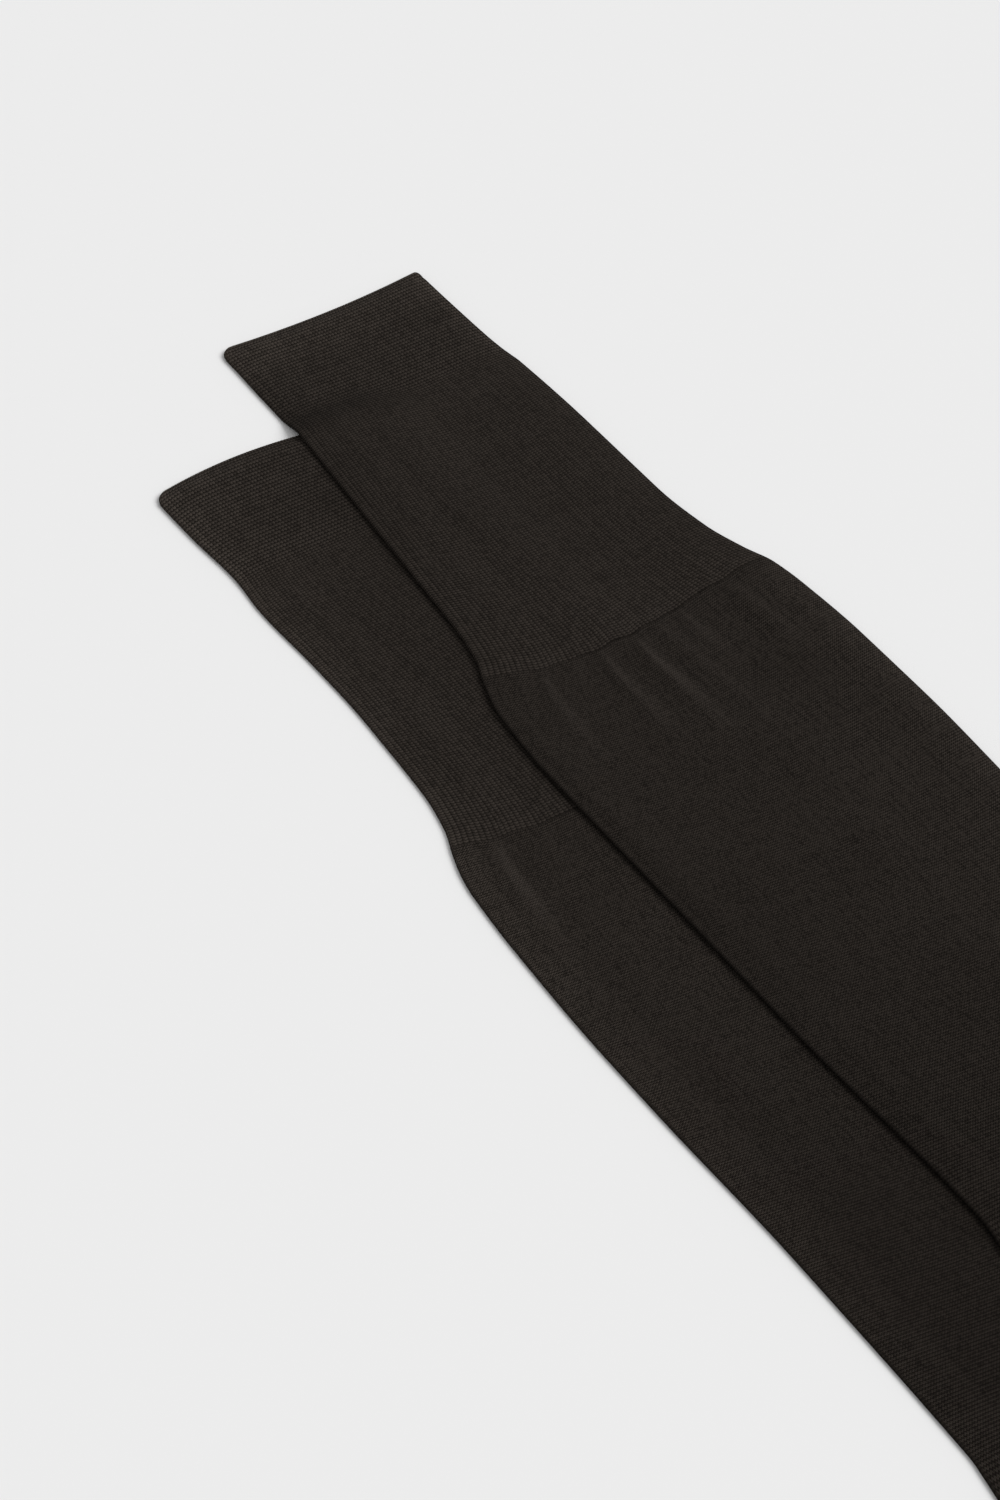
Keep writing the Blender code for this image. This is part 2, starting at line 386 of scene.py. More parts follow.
RIDGES_OF_LOWER = (
    Ridge(-0.79, 0.02, RIB_END, 44, 0.70, 3.2, 0.72),
    Ridge(-0.52, 0.02, RIB_END, 24, 0.35, 3.4, 0.08),
    Ridge(-0.62, 0.16, 195, 120, 0.25, 6.0, 0.0),
    Ridge(-0.30, 0.02, 455, 80, 0.30, 7.0, 0.0),
)
PULL = 1.4
PULL_WIDTH = 3.6
PULL_LENGTH = 9.0
LEAST_PULL = 0.01
CREST_REACH = 5.0
GATHER_PINCH = 0.65
GATHER_OPENS = 1.10
GATHER_PEAK = 0.60
RIDGE_EVEN = 8

Seam = namedtuple("Seam", "start_along start_across end_along end_across height width")
SEAMS = (
    Seam(HEEL_POINT, -1.0, HEEL_POINT, -0.05, 0.30, 0.9),
    Seam(TOE_SEAM, 0.02, TOE_SEAM, 1.0, 0.45, 0.8),
    Seam(TOE_SEAM, 0.02, TOE_END - 7, 0.14, 0.25, 0.8),
)
print(len(RIDGES_OF_UPPER), "ridges on the upper sock,", len(RIDGES_OF_LOWER), "on the lower one")

# %% [markdown]
# ## Where each sock lies
#
# The frame says where the socks are. The straight cuff of the upper one is its highest edge, and its
# back fold reaches furthest out where its widest section is, so its middle line follows from its box.
# The lower sock's cuff is a little to the left and nearer the feet.

# %% The middle of each cuff
LOWER_FROM_UPPER = (-38.0, -43.9)
upper_low, upper_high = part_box("sock_upper")
widest_back = max(section.back for section in LEG_OF_UPPER)
UPPER_CUFF = (upper_low[0] / MM + widest_back, upper_high[1] / MM)
LOWER_CUFF = (UPPER_CUFF[0] + LOWER_FROM_UPPER[0], UPPER_CUFF[1] + LOWER_FROM_UPPER[1])
print("cuffs at", [round(value, 1) for value in UPPER_CUFF + LOWER_CUFF], "mm")

# %% [markdown]
# ## One sock as a function of place
#
# With the tables read, any point of the cloth follows from three things: its ring down the sock, its
# place round the ring, and how deep it lies in the wall. That makes the knit easy: relief is only a
# change of depth. A ring past the toe's end leans over, so that front and back meet in a round edge.

# %% Rings and points
Ring = namedtuple("Ring", "along lean radius back front lags skew tones rubbed")


def across_ring(ends_and_middle, across):
    """The even bend through a value at the back end, one in the middle and one at the front end."""
    back, middle, front = ends_and_middle
    return middle + (front - back) / 2 * across + ((front + back) / 2 - middle) * across * across


def corner_inset(along, radius):
    """How far a rounded corner of the open end stands in from the straight side."""
    if along >= radius:
        return 0.0
    return radius - math.sqrt(radius * radius - (radius - along) ** 2)


def toe_share(along):
    """How much of its width a ring keeps towards the toe's tip."""
    into_toe = (along - TOE_START) / (TOE_END - LEG_THICKNESS / 2 - TOE_START)
    if into_toe <= 0:
        return 1.0
    return TOE_TIP_SHARE + (1 - TOE_TIP_SHARE) * math.sqrt(max(0.0, 1 - into_toe**2))


def swell(ridge, share):
    """A ridge rises and falls along its length, and a gather is highest near the ribs."""
    return math.sin(math.pi * (share**GATHER_PEAK if ridge.start == RIB_END else share))


def spread(ridge, share):
    """A gather is pinched at the ribs and opens out down the leg."""
    return GATHER_PINCH + GATHER_OPENS * share if ridge.start == RIB_END else 1.0


class Sock:
    """One sock on its own middle line, with its cuff at a given place."""

    def __init__(self, leg, courses, tones, ridges, corner, cuff, outer_fold):
        self.sections = leg + FOOT
        self.courses = courses
        self.tones = tones
        self.ridges = ridges
        self.corner = corner
        self.cuff = cuff
        self.outer_fold = outer_fold

    def ring(self, along, lean=0.0):
        fade = smooth_step((along - WELT_END) / WELT_FADE)
        thickness = WELT_THICKNESS + (LEG_THICKNESS - WELT_THICKNESS) * fade
        back = between(self.sections, "back", along) - corner_inset(along, self.corner.back)
        front = between(self.sections, "front", along) - corner_inset(along, self.corner.front)
        share = toe_share(along)
        lags, tones = (
            [between(table, column, along) for column in ("back", "middle", "front")]
            for table in (self.courses, self.tones)
        )
        skew = between(self.courses, "skew", along)
        rubbed = between(self.tones, "rubbed", along)
        return Ring(along, lean, thickness / 2, back * share, front * share, lags, skew, tones, rubbed)

    def lag(self, ring, across):
        """How far towards the foot the ring's course lies at this place across the panel."""
        back, middle, front = ring.lags
        lag = across_ring(ring.lags, across)
        sag = middle - (back + front) / 2
        lag -= ring.skew * sag * across * (1 - across * across)
        near = math.exp(-(((ring.along - RIB_END) / PULL_LENGTH) ** 2))
        if near > LEAST_PULL:
            half = (ring.back + ring.front) / 2
            for ridge in self.ridges:
                if ridge.start == RIB_END:
                    side = (across - ridge.across) * half / PULL_WIDTH
                    lag += PULL * ridge.height * near * math.exp(-side * side)
        return lag

    def plan(self, ring, place, depth=0.0):
        """The point of the floor above which a point of the cloth lies."""
        reach = ring.radius - depth
        past = reach * math.sin(ring.lean)
        x, y, turn = middle_at(ring.along + self.lag(ring, place.across) + past)
        flat_half = (ring.front + ring.back) / 2 - ring.radius
        offset = (ring.front - ring.back) / 2 + place.across * flat_half
        offset += place.out * reach * math.cos(ring.lean)
        return (
            self.cuff[0] + x + offset * math.cos(turn),
            self.cuff[1] + y + offset * math.sin(turn),
        )

    def raised(self, ring, place):
        """How far air and ridges lift the panel that faces up."""
        if place.out != 0.0 or place.up < 0:
            return 0.0
        half = (ring.back + ring.front) / 2
        from_fold = min((1 - abs(place.across)) * half / PUFF_WIDTH, 1.0)
        to_end = min(ring.along / PUFF_END, (TOE_END - ring.along) / (2 * PUFF_END))
        height = PUFF * (1 - (1 - from_fold) ** PUFF_ROUND) * smooth_step(to_end)
        for ridge in self.ridges:
            share = (ring.along - ridge.start) / ridge.length
            if 0 < share < 1:
                side = (place.across - ridge.across - ridge.slant * share) * half / ridge.width
                side /= spread(ridge, share)
                rise = ridge.height * swell(ridge, share) * math.exp(-side * side)
                height += rise * (1 - place.across**RIDGE_EVEN)
        return height

    def crest(self, ring, place):
        """How strong the painted highlight of the nearest crest is, and how far beside it a point lies.
        """
        strength, beside = 0.0, CREST_REACH
        if place.out == 0.0 and place.up > 0:
            half = (ring.back + ring.front) / 2
            for ridge in self.ridges:
                share = (ring.along - ridge.start) / ridge.length
                if ridge.crest and 0 < share < 1:
                    side = (place.across - ridge.across - ridge.slant * share) * half
                    side /= spread(ridge, share)
                    fade = smooth_step(2 - 2 * abs(side) / CREST_REACH)
                    crest_highlight = ridge.crest * swell(ridge, share) * fade
                    if crest_highlight > strength:
                        strength, beside = crest_highlight, side
        return strength, beside

    def tone(self, ring, place):
        """The share of deep brown at a place, which paints the light's fall-off, less along the outer
        fold, where a highlight is painted.
        """
        deep = across_ring(ring.tones, place.across)
        leg = smooth_step((ring.along - RIB_END) / FOLD_HIGHLIGHT_CHANGE + 0.5)
        reach = FOLD_HIGHLIGHT_ON_RIBS + (FOLD_HIGHLIGHT_ON_LEG - FOLD_HIGHLIGHT_ON_RIBS) * leg
        from_fold = (1 - place.across * self.outer_fold) * (ring.back + ring.front) / 2
        fold_highlight_share = ring.rubbed * max(0.0, 1 - from_fold / reach) ** FOLD_HIGHLIGHT_FADE
        return max(0.0, 1 - (1 - deep) * (1 + fold_highlight_share))


upper_tables = (LEG_OF_UPPER, COURSES_OF_UPPER, SHADED_TONES_OF_UPPER, RIDGES_OF_UPPER)
lower_tables = (LEG_OF_LOWER, COURSES_OF_LOWER, SHADED_TONES_OF_LOWER, RIDGES_OF_LOWER)
upper = Sock(*upper_tables, CORNER_OF_UPPER, UPPER_CUFF, outer_fold=1)
lower = Sock(*lower_tables, CORNER_OF_LOWER, LOWER_CUFF, outer_fold=-1)
widest = max((upper.ring(along).back + upper.ring(along).front, along) for along in range(350))
print(f"the upper leg is widest, {widest[0]:.1f} mm, at {widest[1]} mm from the cuff")

# %% [markdown]
# ## What the upper sock lies on
#
# It lies on the floor at its shin side and on the lower sock at its calf side, and comes down softly
# in between. So each of its points asks how far it is from the part of the lower sock that has its
# full height, a little in from the folds. A flat strip of that shape in a search tree answers fast:
# over it the distance is 0. The tight ribs come down more steeply than the slack leg, and the cloth
# bends most sharply over the open end, so lengths along the leg count for more. Where the cloth
# climbs towards the feet in that bend, painted shade darkens it, the more the steeper it climbs.

# %% Height of what lies below a point
AIR = 0.1
CLIMB_OF_RIBS = 22.0
CLIMB_OF_LEG = 42.0
CLIMB_INSET = 10.0
INSET_GROWS = 45.0
CLIMB_ALONG = 1.7
BEND_REACH = 3.5
# Painted shade on the cloth where it climbs over the lower sock's open end.
BEND_PAINTED_SHADE = 0.78
STRIP_STEP = 4


def full_height_tree(sock):
    """A search tree of the strip between the two places where the sock has its full height."""
    alongs = [*range(0, int(TOE_END), STRIP_STEP), TOE_END]
    bm = bmesh.new()
    bmesh.ops.create_grid(bm, x_segments=1, y_segments=len(alongs) - 1, size=0.5)
    for vertex in bm.verts:
        ring = sock.ring(alongs[round((vertex.co.y + 0.5) * (len(alongs) - 1))])
        inset = CLIMB_INSET * smooth_step(ring.along / INSET_GROWS)
        inset = min(inset / ((ring.back + ring.front) / 2), 1.0)
        across = math.copysign(1.0 - inset, vertex.co.x)
        x, y = sock.plan(ring, Place(0, across, 0.0, 1.0))
        vertex.co = (x, y * CLIMB_ALONG, 0.0)
    tree = BVHTree.FromBMesh(bm)
    bm.free()
    return tree


def height_below(tree, x, y):
    if tree is None:
        return 0.0
    distance = tree.find_nearest(Vector((x, y * CLIMB_ALONG, 0.0)))[3]
    slack = smooth_step((UPPER_CUFF[1] - y - RIB_END / 2) / RIB_END)
    climb = CLIMB_OF_RIBS + (CLIMB_OF_LEG - CLIMB_OF_RIBS) * slack
    return (WELT_THICKNESS + PUFF + AIR) * smooth_step(1 - distance / climb)


def bend_below(tree, x, y):
    """How steeply the cloth at a point climbs towards the feet."""
    rise = height_below(tree, x, y - BEND_REACH) - height_below(tree, x, y + BEND_REACH)
    return max(0.0, rise / (2 * BEND_REACH))


lower_shape = full_height_tree(lower)
middle_of_calf = upper.plan(upper.ring(230), place_of(PANEL_WALES / 4))
print(f"the upper calf rests {height_below(lower_shape, *middle_of_calf):.1f} mm above the floor")

# %% [markdown]
# ## Relief of the knit
#
# The ribs, the rounded ends of the two knits and the fold of the turned welt are all grooves: places
# where the outside of the wall lies a little deeper. A groove never stands proud of the plain shape,
# so the underside still rests flat.

# %% Depth of the outside of the wall
RIB_GROOVE = 0.12
WELT_GROOVE = 0.09
RIB_FULLNESS = 0.6
WELT_LINE = 3.0
WELT_LINE_DEPTH = 0.12
WELT_LINE_WIDTH = 0.6
END_ROUND = 0.12
GROOVE_EVEN = 4


def round_over(distance):
    """Depth of a rounded rim at a distance from the end of the cloth."""
    if distance >= END_ROUND:
        return 0.0
    return END_ROUND - math.sqrt(END_ROUND**2 - (END_ROUND - distance) ** 2)


def between_knits(distance, place):
    """The fine groove where ribs and plain knit meet, which fades towards the folds."""
    return round_over(distance) * (1 - place.across**GROOVE_EVEN)


def ribbed_depth(ring, place):
    """Raised wales with narrow grooves between, on the ribbed top and more gently on its welt."""
    past_welt = smooth_step((ring.along - WELT_END) / WELT_FADE)
    deep = WELT_GROOVE + (RIB_GROOVE - WELT_GROOVE) * past_welt
    groove = deep * (1 - math.sin(math.pi * (place.wale % 1.0)) ** RIB_FULLNESS)
    line = WELT_LINE_DEPTH * math.exp(-(((ring.along - WELT_LINE) / WELT_LINE_WIDTH) ** 2))
    return groove + line + round_over(ring.along) + between_knits(RIB_END - ring.along, place)


def plain_depth(ring, place):
    """Plain knit is smooth but for its first row and the raised lines of heel and toe."""
    depth = between_knits(ring.along - RIB_END, place)
    if place.out != 0.0 or place.up < 0:
        return depth
    half = (ring.back + ring.front) / 2
    for seam in SEAMS:
        run = (seam.end_along - seam.start_along, (seam.end_across - seam.start_across) * half)
        gone = (ring.along - seam.start_along, (place.across - seam.start_across) * half)
        share = (run[0] * gone[0] + run[1] * gone[1]) / (run[0] ** 2 + run[1] ** 2)
        share = min(max(share, 0.0), 1.0)
        away = math.hypot(gone[0] - share * run[0], gone[1] - share * run[1])
        depth -= seam.height * math.exp(-((away / seam.width) ** 2))
    return depth


print(f"the ribs are {RIB_GROOVE} mm deep in a wall of {WALL} mm")

# %% [markdown]
# ## From a grid to a walled tube
#
# A grid has the right faces already: its columns go round the tube and its rows go down it. Each
# point is sent to its place, the seam is merged and `solidify` adds the inside of the wall. Every
# vertex remembers its row and column in two small layers, which the inside inherits, so both sides
# can then be placed exactly. The grid's own coordinates, counted in stitches, become the UV map.


# %% Build one shell
SEAM_GAP = 0.001


def knitted_shell(name, sock, tree, rings, steps_per_wale, depth_of, count):
    columns = round(WALES * steps_per_wale)
    places = [place_of(i / steps_per_wale) for i in range(columns)]
    bm = bmesh.new()
    bmesh.ops.create_grid(bm, x_segments=columns, y_segments=len(rings) - 1, size=0.5)
    row_layer = bm.verts.layers.int.new("row")
    column_layer = bm.verts.layers.int.new("column")
    # Layers for the painted highlight on crests, the distance beside them for painted shade, and the
    # tone with its painted light.
    crest_highlight_layer = bm.verts.layers.float.new("crest_highlight")
    beside_layer = bm.verts.layers.float.new("beside_crest")
    shaded_tone_layer = bm.verts.layers.float.new("tone")
    stitches = bm.loops.layers.uv.new("stitches")
    for vertex in bm.verts:
        vertex[column_layer] = round((vertex.co.x + 0.5) * columns)
        vertex[row_layer] = round((vertex.co.y + 0.5) * (len(rings) - 1))
    for face in bm.faces:
        for loop in face.loops:
            along = rings[loop.vert[row_layer]].along
            loop[stitches].uv = (loop.vert[column_layer] / steps_per_wale, count(along))

    def put(vertex, depth_at):
        ring = rings[vertex[row_layer]]
        place = places[vertex[column_layer] % columns]
        depth = depth_at(ring, place)
        x, y = sock.plan(ring, place, depth)
        upright = (ring.radius - depth) * math.cos(ring.lean)
        z = height_below(tree, x, y) + ring.radius + place.up * upright + sock.raised(ring, place)
        vertex.co = (x * MM, y * MM, z * MM)
        # Each vertex takes its painted crest highlight, and the tone with painted fall-off, painted
        # fold highlight and painted bend shade.
        vertex[crest_highlight_layer], vertex[beside_layer] = sock.crest(ring, place)
        vertex[shaded_tone_layer] = sock.tone(ring, place) + BEND_PAINTED_SHADE * bend_below(tree, x, y)

    for vertex in bm.verts:
        put(vertex, lambda ring, place: 0.0)
    bmesh.ops.remove_doubles(bm, verts=bm.verts, dist=SEAM_GAP * MM)
    bmesh.ops.recalc_face_normals(bm, faces=bm.faces)
    outside = set(bm.verts)
    bmesh.ops.solidify(bm, geom=bm.faces[:], thickness=WALL * MM)
    for vertex in bm.verts:
        put(vertex, depth_of if vertex in outside else lambda ring, place: WALL)
    bm.verts.layers.int.remove(bm.verts.layers.int["row"])
    bm.verts.layers.int.remove(bm.verts.layers.int["column"])
    mesh = bpy.data.meshes.new(name)
    bm.to_mesh(mesh)
    bm.free()
    mesh.shade_smooth()
    piece = bpy.data.objects.new(name, mesh)
    bpy.context.scene.collection.objects.link(piece)
    print(f"{name}: {sum(len(p.vertices) - 2 for p in mesh.polygons)} triangles")
    return piece


# %% [markdown]
# ## Rows of the mesh
#
# Rows are close where the shape changes quickly, at the ends, the edge of the welt, the gathers, the
# heel and the toe, and far apart on the long plain stretches.

# %% Rings of the ribbed top and of the rest
Stretch = namedtuple("Stretch", "end rows")
CUFF_ROWS = (0.0, 0.12, 0.3, 0.6, 1.0, 1.6, 2.4)
RIM_ROWS = (0.6, 0.3, 0.12, 0.0)
TOE_ROWS = 16
TOE_EDGE_ROWS = 6
CUFF_STRETCH_START = 3.0
RIM_REACH = 1.2
SEAM_REACH = 3.0
RIBBED_STRETCHES = (
    Stretch(4.0, 4),
    Stretch(38.0, 13),
    Stretch(50.0, 10),
    Stretch(RIB_END - RIM_REACH, 42),
)
PLAIN_STRETCHES = (
    Stretch(200.0, 44),
    Stretch(ANKLE, 42),
    Stretch(HEEL_POINT - SEAM_REACH, 18),
    Stretch(HEEL_POINT + SEAM_REACH, 14),
    Stretch(TURN_END, 18),
    Stretch(TOE_SEAM - SEAM_REACH, 26),
    Stretch(TOE_SEAM + SEAM_REACH, 12),
)


def stretched(start, stretches):
    """Places from start on, evenly spaced in each stretch."""
    alongs = []
    for stretch in stretches:
        step = (stretch.end - start) / stretch.rows
        alongs += [start + step * i for i in range(stretch.rows)]
        start = stretch.end
    return alongs + [start]


ribbed_rows = [*CUFF_ROWS, *stretched(CUFF_STRETCH_START, RIBBED_STRETCHES)]
ribbed_rows += [RIB_END - gap for gap in RIM_ROWS]
plain_rows = [RIB_END + gap for gap in reversed(RIM_ROWS)]
plain_rows += stretched(RIB_END + RIM_REACH, PLAIN_STRETCHES)
toe_edge = TOE_END - LEG_THICKNESS / 2
toe_start = plain_rows[-1]
for row in range(1, TOE_ROWS + 1):
    plain_rows.append(toe_start + (toe_edge - toe_start) * math.sin(math.pi / 2 * row / TOE_ROWS))
toe_leans = [math.pi / 2 * row / TOE_EDGE_ROWS for row in range(1, TOE_EDGE_ROWS + 1)]
print(len(ribbed_rows), "rows down the ribs and", len(plain_rows) + len(toe_leans), "down the rest")

# %% [markdown]
# ## The four pieces
#
# The ribbed top and the plain rest are two shells that meet end to end in a fine groove, as the
# knit does where the machine changes from ribs to plain. The ribs need four columns for each wale,
# the plain knit far fewer.

# %% Knit both socks
RIB_STEPS = 4
PLAIN_STEPS = 1.5
pieces = {}
for side, sock, tree in (("lower", lower, None), ("upper", upper, lower_shape)):
    rings = [sock.ring(along) for along in ribbed_rows]
    knit = (RIB_STEPS, ribbed_depth, ribbed_count)
    top = knitted_shell(f"{side}_ribbed_top", sock, tree, rings, *knit)
    rings = [sock.ring(along) for along in plain_rows]
    rings += [sock.ring(toe_edge, lean) for lean in toe_leans]
    knit = (PLAIN_STEPS, plain_depth, plain_count)
    rest = knitted_shell(f"{side}_leg_and_foot", sock, tree, rings, *knit)
    pieces[side] = (top, rest)

# %% [markdown]
# ## Writing materials as sums
#
# A knit is a repeated shape, so its material is mostly arithmetic on the stitch count. `Yarn` wraps
# a socket and turns Python's operators into Math nodes, and `Finish` holds a material and makes
# every other node, so that the finishes below read as plain formulas.


# %% Two small classes for shader maths
class Yarn:
    """A socket that adds Math nodes when it is used in a sum."""

    def __init__(self, finish, socket):
        self.finish = finish
        self.socket = socket

    def maths(self, operation, *values):
        inputs = dict(enumerate(values))
        return self.finish.node("ShaderNodeMath", {"operation": operation}, inputs)

    def __add__(self, other):
        return self.maths("ADD", self, other)

    def __sub__(self, other):
        return self.maths("SUBTRACT", self, other)

    def __rsub__(self, other):
        return self.maths("SUBTRACT", other, self)

    def __mul__(self, other):
        return self.maths("MULTIPLY", self, other)

    def __pow__(self, other):
        return self.maths("POWER", self, other)

    def __abs__(self):
        return self.maths("ABSOLUTE", self)

    __radd__ = __add__
    __rmul__ = __mul__

    def fraction(self):
        return self.maths("FRACT", self)

    def whole(self):
        return self.maths("FLOOR", self)

    def held(self):
        """Kept between 0 and 1."""
        return self.finish.node("ShaderNodeClamp", {}, {"Value": self})

    def mound(self):
        """A round hump over each whole step, 0 at its ends and 1 in its middle."""
        edge = self.fraction() * 2 - 1
        return 1 - edge * edge


class Finish:
    """A material with one Principled BSDF."""

    def __init__(self, name):
        self.material = bpy.data.materials.new(name)
        self.material.use_nodes = True
        self.tree = self.material.node_tree
        self.shader = self.tree.nodes["Principled BSDF"]

    def node(self, kind, settings, inputs, output=0):
        made = self.tree.nodes.new(kind)
        for name, value in settings.items():
            setattr(made, name, value)
        self.fill(made, inputs)
        return Yarn(self, made.outputs[output])

    def fill(self, made, inputs):
        for name, value in inputs.items():
            if isinstance(value, Yarn):
                self.tree.links.new(value.socket, made.inputs[name])
            else:
                made.inputs[name].default_value = value

    def mix(self, share, one, other):
        """The colour that goes from one to the other. Its sockets have numbers, not names, because a
        Mix node has a set of sockets for each type of data."""
        inputs = {0: share, 6: one, 7: other}
        return self.node("ShaderNodeMix", {"data_type": "RGBA"}, inputs, output=2)


print("shader maths ready")

# %% [markdown]
# ## The yarn
#
# The yarn is a very dark warm brown. It looks deeper where it dives behind its neighbour, because
# no light reaches it there, and a shade lighter on top of each loop. Fine fibres on top catch light
# from the side, which a little sheen stands for. Ridge crests get a painted highlight and the hollows
# beside them painted shade. All of these are constants of the two finishes.

# %% Colours and gloss of the yarn
YARN_DEEP = (0.0020, 0.0015, 0.0012, 1.0)
YARN_TOP = (0.0568, 0.0467, 0.0391, 1.0)
YARN_WORN = (0.0687, 0.0573, 0.0486, 1.0)
# The colour of the painted highlight along ridge crests.
YARN_CREST_HIGHLIGHT = (0.0778, 0.0650, 0.0558, 1.0)
SHEEN_TINT = (1.0, 0.90, 0.80, 1.0)
YARN_SHEEN = 0.01
YARN_SHEEN_ROUGHNESS = 0.5
YARN_SPECULAR = 0.02
YARN_ROUGHNESS = 0.95
YARN_POLISH = 0.15
CLOUDS_PER_METRE = 55.0
CLOUD_DETAIL = 3.0
# How wide the painted crest highlight is, how much it lifts the colour, and how much painted shade
# darkens the hollows beside a crest.
CREST_HALF = 2.3
CREST_HIGHLIGHT_LIFT = 0.20
HOLLOW_PAINTED_SHADE = 0.17


def stitch_counts(finish):
    """The two counts of the UV map: across the wales and down the courses."""
    counts = finish.node("ShaderNodeUVMap", {"uv_map": "stitches"}, {})
    across = finish.node("ShaderNodeSeparateXYZ", {}, {"Vector": counts}, output=0)
    down = Yarn(finish, across.socket.node.outputs[1])
    return across, down


def chance(finish, across, down):
    """A number from 0 to 1 for each pair of whole counts, the same each time."""
    cell = finish.node("ShaderNodeCombineXYZ", {}, {"X": across, "Y": down})
    return finish.node("ShaderNodeTexWhiteNoise", {"noise_dimensions": "2D"}, {"Vector": cell})


Luck = namedtuple("Luck", "least stitch course wale")


def uneven(finish, luck, stitch, course, wale):
    """How bright a stitch is: by chance for itself, for its course and for its wale."""
    bright = luck.least + luck.stitch * chance(finish, *stitch)
    return bright + luck.course * chance(finish, 0.0, course) + luck.wale * chance(finish, wale, 0.0)


def yarn_look(finish, height, luck, relief):
    """Colours the yarn by its height, a little differently from stitch to stitch."""
    places = finish.node("ShaderNodeTexCoord", {}, {}, output="Object")
    spread_out = {"Vector": places, "Scale": CLOUDS_PER_METRE, "Detail": CLOUD_DETAIL}
    cloud = finish.node("ShaderNodeTexNoise", {}, spread_out)
    # The painted highlight along ridge crests, in its own colour and lift.
    strength = finish.node("ShaderNodeAttribute", {"attribute_name": "crest_highlight"}, {}, output="Fac")
    beside = finish.node("ShaderNodeAttribute", {"attribute_name": "beside_crest"}, {}, output="Fac")
    beside = abs(beside) * (1 / CREST_HALF)
    crest_highlight = strength * (1 - beside * beside).held() ** 2
    top = finish.mix(crest_highlight, finish.mix(cloud, YARN_TOP, YARN_WORN), YARN_CREST_HIGHLIGHT)
    colour = finish.mix((height * luck + crest_highlight * CREST_HIGHLIGHT_LIFT).held(), YARN_DEEP, top)
    # Painted shade in the hollows beside the crests, on top of the tone, which holds painted fall-off,
    # the painted fold highlight and painted bend shade.
    hollow = strength * (beside - 1).held()
    tone = finish.node("ShaderNodeAttribute", {"attribute_name": "tone"}, {}, output="Fac")
    colour = finish.mix(tone + hollow * HOLLOW_PAINTED_SHADE, colour, YARN_DEEP)
    bump = finish.node("ShaderNodeBump", {}, {"Height": height, "Distance": relief * MM})
    roughness = YARN_ROUGHNESS - YARN_POLISH * height
    looks = {"Base Color": colour, "Normal": bump, "Roughness": roughness}
    constants = {
        "Metallic": 0.0,
        "Specular IOR Level": YARN_SPECULAR,
        "Sheen Weight": YARN_SHEEN,
        "Sheen Roughness": YARN_SHEEN_ROUGHNESS,
        "Sheen Tint": SHEEN_TINT,
    }
    finish.fill(finish.shader, looks | constants)


print("yarn colours set")

# %% [markdown]
# ## Plain knit
#
# On the smooth side of plain knit each stitch is a small V. Its two legs are slanted lengths of
# yarn that lean against each other in the middle of the wale. Shifting the count of courses with
# the distance from the wale's middle slants them. No two stitches reflect alike, and neither do two
# courses or two wales, which gives the leg its fine grain.

# %% The finish of leg and foot
PLAIN_SLANT = 0.55
PLAIN_RELIEF = 0.14
LEG_SHARPNESS = 1.5
BETWEEN_LEGS = 0.30
PLAIN_LUCK = Luck(least=0.47, stitch=0.98, course=0.17, wale=0.22)

plain = Finish("plain_knit")
across, down = stitch_counts(plain)
needle = across * NEEDLES_PER_WALE
from_middle = abs(needle.fraction() * 2 - 1)
course = down + from_middle * PLAIN_SLANT
legs = BETWEEN_LEGS + (1 - BETWEEN_LEGS) * from_middle.mound()
height = course.mound() ** LEG_SHARPNESS * legs
one_leg = ((needle * 2).whole(), course.whole())
luck = uneven(plain, PLAIN_LUCK, one_leg, down.whole(), needle.whole())
yarn_look(plain, height, luck, PLAIN_RELIEF)
print("plain knit:", len(plain.tree.nodes), "nodes")

# %% [markdown]
# ## Ribbed knit
#
# The raised wales are the same V stitches, twice as far apart, with a dark hollow between where the
# other needles' loops lie. The mesh has the hollows, and the material adds the stitches. The welt
# is knitted looser, so its stitches stand apart like small beads, and in the ribs they join up a
# little. The last course before the plain knit is pulled tight and shows as a thin broken dark
# line, which fades towards the folds.

# %% The finish of the ribbed top
RIB_SLANT = 0.40
RIB_RELIEF = 0.13
RIB_LUCK = Luck(least=0.52, stitch=0.54, course=0.12, wale=0.16)
HOLLOW_SHOWS = 0.70
HOLLOW_NARROW = 4
WELT_FADE_COURSES = 4.0
STITCHES_JOIN = 0.12
LINE_COURSES = 1.0
LINE_MIDDLE = 0.56
LINE_NARROWS = 2.6
LINE_REACH = 1.15
LINE_LEAST = 0.35
LINE_BREAKS = 0.50
BREAK_WALES = 2
LINE_DEEP = 0.9

ribbed = Finish("ribbed_knit")
across, down = stitch_counts(ribbed)
from_middle = abs(across.fraction() * 2 - 1)
course = down + from_middle * RIB_SLANT
crest = 1 - HOLLOW_SHOWS * from_middle**HOLLOW_NARROW
past_welt = ((down - ribbed_count(WELT_END)) * (1 / WELT_FADE_COURSES)).held()
apart = 1 - STITCHES_JOIN * past_welt
last_courses = ((down - ribbed_count(RIB_END)) * (1 / LINE_COURSES) + 1).held()
over_panel = (across * (1 / (PANEL_WALES + FOLD_WALES))).fraction()
off_middle = (over_panel - LINE_MIDDLE) * LINE_NARROWS
reach = (LINE_REACH - off_middle * off_middle).held()
broken = LINE_BREAKS + (1 - LINE_BREAKS) * chance(ribbed, (across * (1 / BREAK_WALES)).whole(), 0.0)
line = last_courses * (LINE_LEAST + (1 - LINE_LEAST) * reach) * broken
height = crest * (course.mound() * apart + (1 - apart)) * (1 - LINE_DEEP * line)
half_stitch = ((across * 2).whole(), course.whole())
luck = uneven(ribbed, RIB_LUCK, half_stitch, down.whole(), across.whole())
yarn_look(ribbed, height, luck, RIB_RELIEF)
